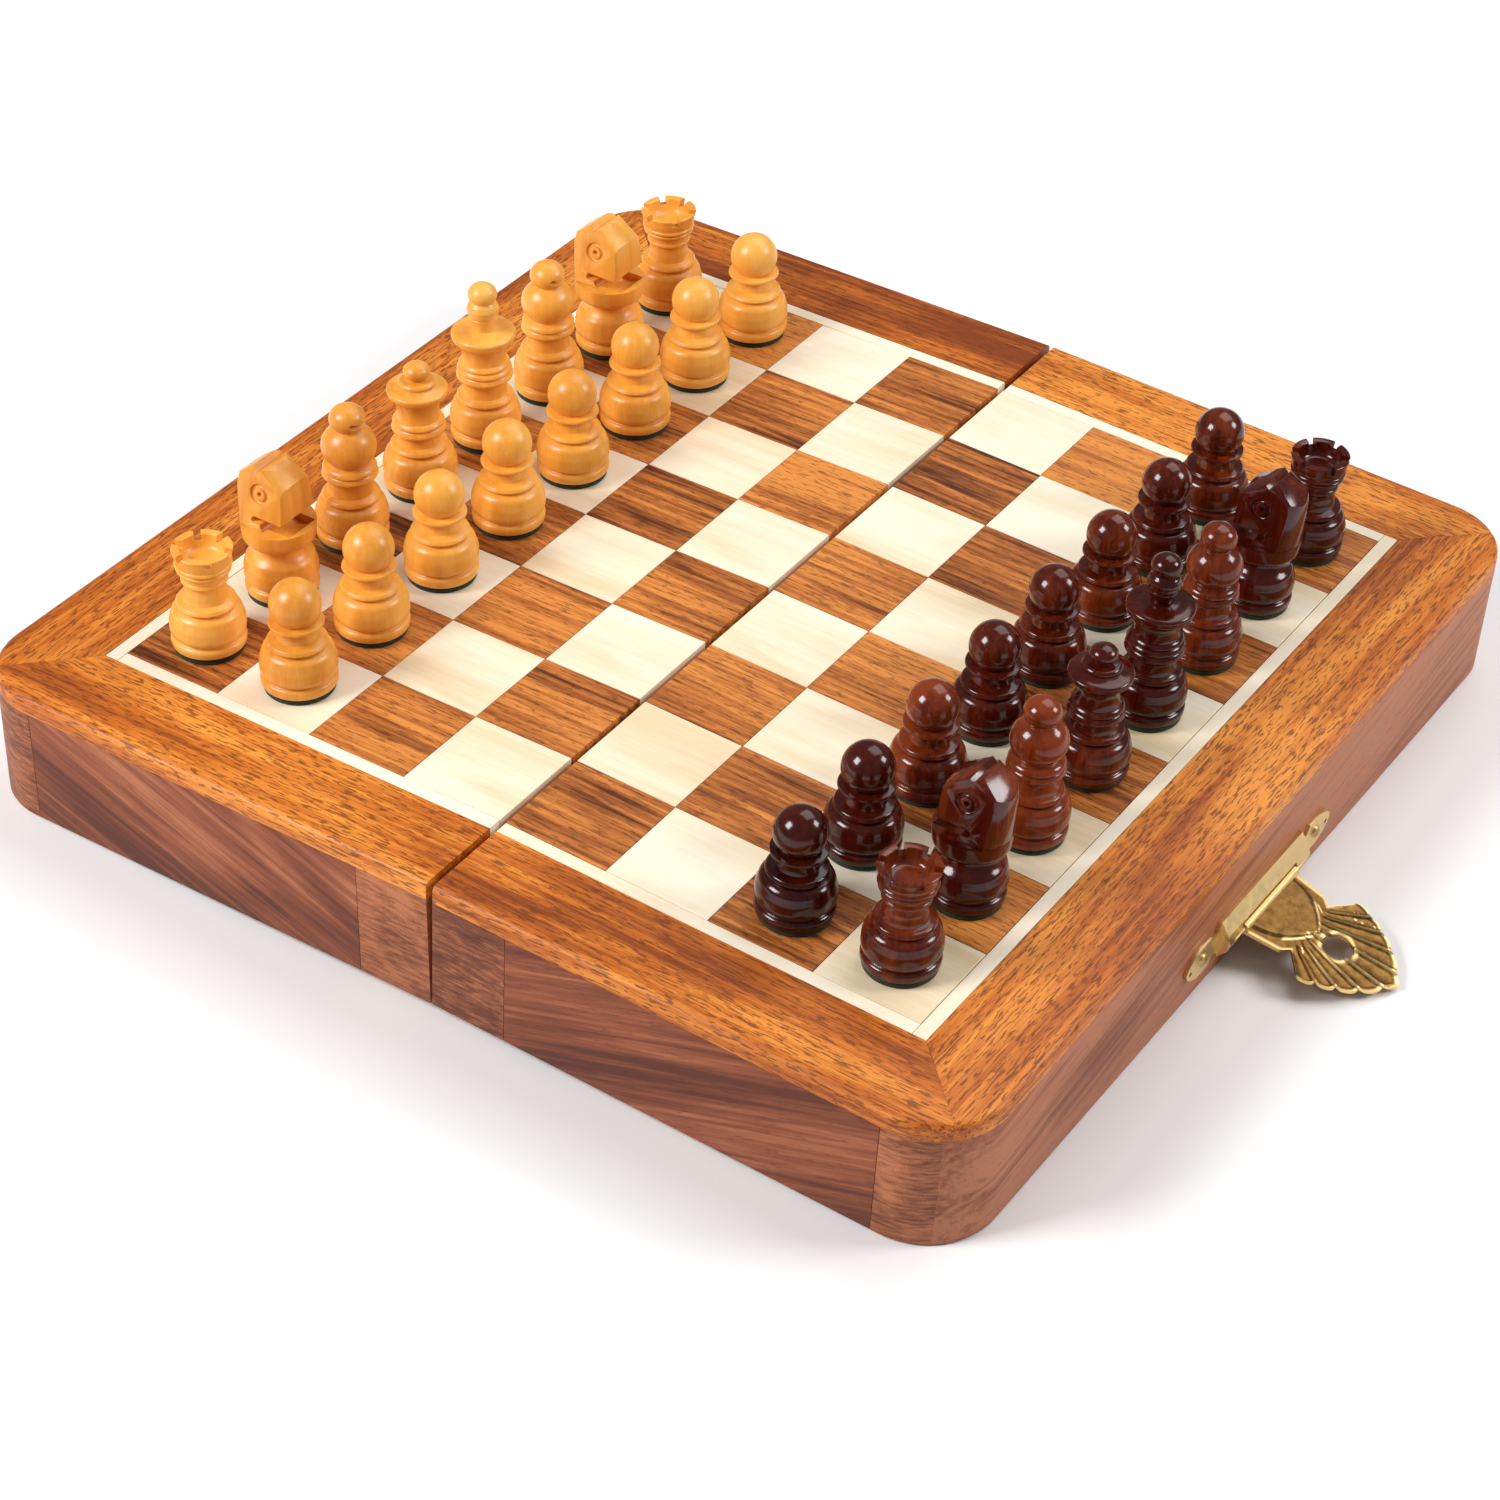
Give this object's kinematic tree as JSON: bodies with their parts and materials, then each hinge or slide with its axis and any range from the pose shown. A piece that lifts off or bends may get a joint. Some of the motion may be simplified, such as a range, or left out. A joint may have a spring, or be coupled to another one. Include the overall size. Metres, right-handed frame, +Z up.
{
  "type": "folding travel chess set",
  "caption": "Folding wooden chess board made of hinged trays with the squares outside, a shell-shaped brass clasp, and an army of turned magnetic men for each side.",
  "frame": {"origin": "middle of the footprint of the open set, at the table", "axes": "+X across the fold towards the clasp side and the dark men, +Y along the fold away from the nearest corner, +Z up"},
  "size_m": [0.2064, 0.178, 0.0534],
  "materials": {
    "wall_wood": "satin oiled rosewood, pinkish brown side grain",
    "frame_rosewood": "satin orange-brown rosewood with dark pores",
    "border_maple": "satin cream maple",
    "field_squares": "satin squares of cream maple and brown rosewood",
    "deck_plywood": "matt birch plywood",
    "sheet_steel": "plain rolled steel sheet",
    "aged_brass": "aged pressed brass, bright on the edges",
    "green_felt": "dark green wool felt under the men and on the tray floors",
    "boxwood": "polished golden boxwood",
    "dark_rosewood": "glossy lacquered dark red-brown rosewood"
  },
  "bodies": {
    "left_half": {"left_outer_wall": "wall_wood", "left_hinge_wall": "wall_wood", "left_near_wall": "wall_wood", "left_far_wall": "wall_wood", "left_deck": "deck_plywood", "left_steel_sheet": "sheet_steel", "left_field": "field_squares", "left_border": "border_maple", "left_frame": "frame_rosewood", "near_hinge_left_leaf": "aged_brass", "far_hinge_left_leaf": "aged_brass", "near_hinge_pin": "aged_brass", "far_hinge_pin": "aged_brass", "catch_plate": "aged_brass"},
    "right_half": {"right_outer_wall": "wall_wood", "right_hinge_wall": "wall_wood", "right_near_wall": "wall_wood", "right_far_wall": "wall_wood", "right_deck": "deck_plywood", "right_steel_sheet": "sheet_steel", "right_field": "field_squares", "right_border": "border_maple", "right_frame": "frame_rosewood", "near_hinge_right_leaf": "aged_brass", "far_hinge_right_leaf": "aged_brass", "clasp_plate": "aged_brass", "clasp_pin": "aged_brass"},
    "clasp": {"clasp_tongue": "aged_brass"},
    "light_rook_near": {"light_rook_near": "boxwood"},
    "light_pawn_1": {"light_pawn_1": "boxwood"},
    "light_knight_near": {"light_knight_near": "boxwood"},
    "light_pawn_2": {"light_pawn_2": "boxwood"},
    "light_bishop_near": {"light_bishop_near": "boxwood"},
    "light_pawn_3": {"light_pawn_3": "boxwood"},
    "light_queen": {"light_queen": "boxwood"},
    "light_pawn_4": {"light_pawn_4": "boxwood"},
    "light_king": {"light_king": "boxwood"},
    "light_pawn_5": {"light_pawn_5": "boxwood"},
    "light_bishop_far": {"light_bishop_far": "boxwood"},
    "light_pawn_6": {"light_pawn_6": "boxwood"},
    "light_knight_far": {"light_knight_far": "boxwood"},
    "light_pawn_7": {"light_pawn_7": "boxwood"},
    "light_rook_far": {"light_rook_far": "boxwood"},
    "light_pawn_8": {"light_pawn_8": "boxwood"},
    "dark_rook_near": {"dark_rook_near": "dark_rosewood"},
    "dark_pawn_1": {"dark_pawn_1": "dark_rosewood"},
    "dark_knight_near": {"dark_knight_near": "dark_rosewood"},
    "dark_pawn_2": {"dark_pawn_2": "dark_rosewood"},
    "dark_bishop_near": {"dark_bishop_near": "dark_rosewood"},
    "dark_pawn_3": {"dark_pawn_3": "dark_rosewood"},
    "dark_queen": {"dark_queen": "dark_rosewood"},
    "dark_pawn_4": {"dark_pawn_4": "dark_rosewood"},
    "dark_king": {"dark_king": "dark_rosewood"},
    "dark_pawn_5": {"dark_pawn_5": "dark_rosewood"},
    "dark_bishop_far": {"dark_bishop_far": "dark_rosewood"},
    "dark_pawn_6": {"dark_pawn_6": "dark_rosewood"},
    "dark_knight_far": {"dark_knight_far": "dark_rosewood"},
    "dark_pawn_7": {"dark_pawn_7": "dark_rosewood"},
    "dark_rook_far": {"dark_rook_far": "dark_rosewood"},
    "dark_pawn_8": {"dark_pawn_8": "dark_rosewood"}
  },
  "joints": [
    {"name": "board_fold", "type": "hinge", "parent": "left_half", "child": "right_half", "pos_m": [-0.01088, 0, 0.0016], "axis": [0, 1, 0], "range_deg": [0, 177.75]},
    {"name": "clasp_swing", "type": "hinge", "parent": "right_half", "child": "clasp", "pos_m": [0.08044, -0.00053, 0.0066], "axis": [0, 1, 0], "range_deg": [-60, 77.71]},
    {"name": "lift_light_rook_near", "type": "slide", "parent": "left_half", "child": "light_rook_near", "axis": [-0.0197, 0, 0.9998], "range_m": [0, 0.05]},
    {"name": "lift_light_pawn_1", "type": "slide", "parent": "left_half", "child": "light_pawn_1", "axis": [-0.0197, 0, 0.9998], "range_m": [0, 0.05]},
    {"name": "lift_light_knight_near", "type": "slide", "parent": "left_half", "child": "light_knight_near", "axis": [-0.0197, 0, 0.9998], "range_m": [0, 0.05]},
    {"name": "lift_light_pawn_2", "type": "slide", "parent": "left_half", "child": "light_pawn_2", "axis": [-0.0197, 0, 0.9998], "range_m": [0, 0.05]},
    {"name": "lift_light_bishop_near", "type": "slide", "parent": "left_half", "child": "light_bishop_near", "axis": [-0.0197, 0, 0.9998], "range_m": [0, 0.05]},
    {"name": "lift_light_pawn_3", "type": "slide", "parent": "left_half", "child": "light_pawn_3", "axis": [-0.0197, 0, 0.9998], "range_m": [0, 0.05]},
    {"name": "lift_light_queen", "type": "slide", "parent": "left_half", "child": "light_queen", "axis": [-0.0197, 0, 0.9998], "range_m": [0, 0.05]},
    {"name": "lift_light_pawn_4", "type": "slide", "parent": "left_half", "child": "light_pawn_4", "axis": [-0.0197, 0, 0.9998], "range_m": [0, 0.05]},
    {"name": "lift_light_king", "type": "slide", "parent": "left_half", "child": "light_king", "axis": [-0.0197, 0, 0.9998], "range_m": [0, 0.05]},
    {"name": "lift_light_pawn_5", "type": "slide", "parent": "left_half", "child": "light_pawn_5", "axis": [-0.0197, 0, 0.9998], "range_m": [0, 0.05]},
    {"name": "lift_light_bishop_far", "type": "slide", "parent": "left_half", "child": "light_bishop_far", "axis": [-0.0197, 0, 0.9998], "range_m": [0, 0.05]},
    {"name": "lift_light_pawn_6", "type": "slide", "parent": "left_half", "child": "light_pawn_6", "axis": [-0.0197, 0, 0.9998], "range_m": [0, 0.05]},
    {"name": "lift_light_knight_far", "type": "slide", "parent": "left_half", "child": "light_knight_far", "axis": [-0.0197, 0, 0.9998], "range_m": [0, 0.05]},
    {"name": "lift_light_pawn_7", "type": "slide", "parent": "left_half", "child": "light_pawn_7", "axis": [-0.0197, 0, 0.9998], "range_m": [0, 0.05]},
    {"name": "lift_light_rook_far", "type": "slide", "parent": "left_half", "child": "light_rook_far", "axis": [-0.0197, 0, 0.9998], "range_m": [0, 0.05]},
    {"name": "lift_light_pawn_8", "type": "slide", "parent": "left_half", "child": "light_pawn_8", "axis": [-0.0197, 0, 0.9998], "range_m": [0, 0.05]},
    {"name": "lift_dark_rook_near", "type": "slide", "parent": "right_half", "child": "dark_rook_near", "axis": [0.0197, 0, 0.9998], "range_m": [0, 0.05]},
    {"name": "lift_dark_pawn_1", "type": "slide", "parent": "right_half", "child": "dark_pawn_1", "axis": [0.0197, 0, 0.9998], "range_m": [0, 0.05]},
    {"name": "lift_dark_knight_near", "type": "slide", "parent": "right_half", "child": "dark_knight_near", "axis": [0.0197, 0, 0.9998], "range_m": [0, 0.05]},
    {"name": "lift_dark_pawn_2", "type": "slide", "parent": "right_half", "child": "dark_pawn_2", "axis": [0.0197, 0, 0.9998], "range_m": [0, 0.05]},
    {"name": "lift_dark_bishop_near", "type": "slide", "parent": "right_half", "child": "dark_bishop_near", "axis": [0.0197, 0, 0.9998], "range_m": [0, 0.05]},
    {"name": "lift_dark_pawn_3", "type": "slide", "parent": "right_half", "child": "dark_pawn_3", "axis": [0.0197, 0, 0.9998], "range_m": [0, 0.05]},
    {"name": "lift_dark_queen", "type": "slide", "parent": "right_half", "child": "dark_queen", "axis": [0.0197, 0, 0.9998], "range_m": [0, 0.05]},
    {"name": "lift_dark_pawn_4", "type": "slide", "parent": "right_half", "child": "dark_pawn_4", "axis": [0.0197, 0, 0.9998], "range_m": [0, 0.05]},
    {"name": "lift_dark_king", "type": "slide", "parent": "right_half", "child": "dark_king", "axis": [0.0197, 0, 0.9998], "range_m": [0, 0.05]},
    {"name": "lift_dark_pawn_5", "type": "slide", "parent": "right_half", "child": "dark_pawn_5", "axis": [0.0197, 0, 0.9998], "range_m": [0, 0.05]},
    {"name": "lift_dark_bishop_far", "type": "slide", "parent": "right_half", "child": "dark_bishop_far", "axis": [0.0197, 0, 0.9998], "range_m": [0, 0.05]},
    {"name": "lift_dark_pawn_6", "type": "slide", "parent": "right_half", "child": "dark_pawn_6", "axis": [0.0197, 0, 0.9998], "range_m": [0, 0.05]},
    {"name": "lift_dark_knight_far", "type": "slide", "parent": "right_half", "child": "dark_knight_far", "axis": [0.0197, 0, 0.9998], "range_m": [0, 0.05]},
    {"name": "lift_dark_pawn_7", "type": "slide", "parent": "right_half", "child": "dark_pawn_7", "axis": [0.0197, 0, 0.9998], "range_m": [0, 0.05]},
    {"name": "lift_dark_rook_far", "type": "slide", "parent": "right_half", "child": "dark_rook_far", "axis": [0.0197, 0, 0.9998], "range_m": [0, 0.05]},
    {"name": "lift_dark_pawn_8", "type": "slide", "parent": "right_half", "child": "dark_pawn_8", "axis": [0.0197, 0, 0.9998], "range_m": [0, 0.05]}
  ]
}
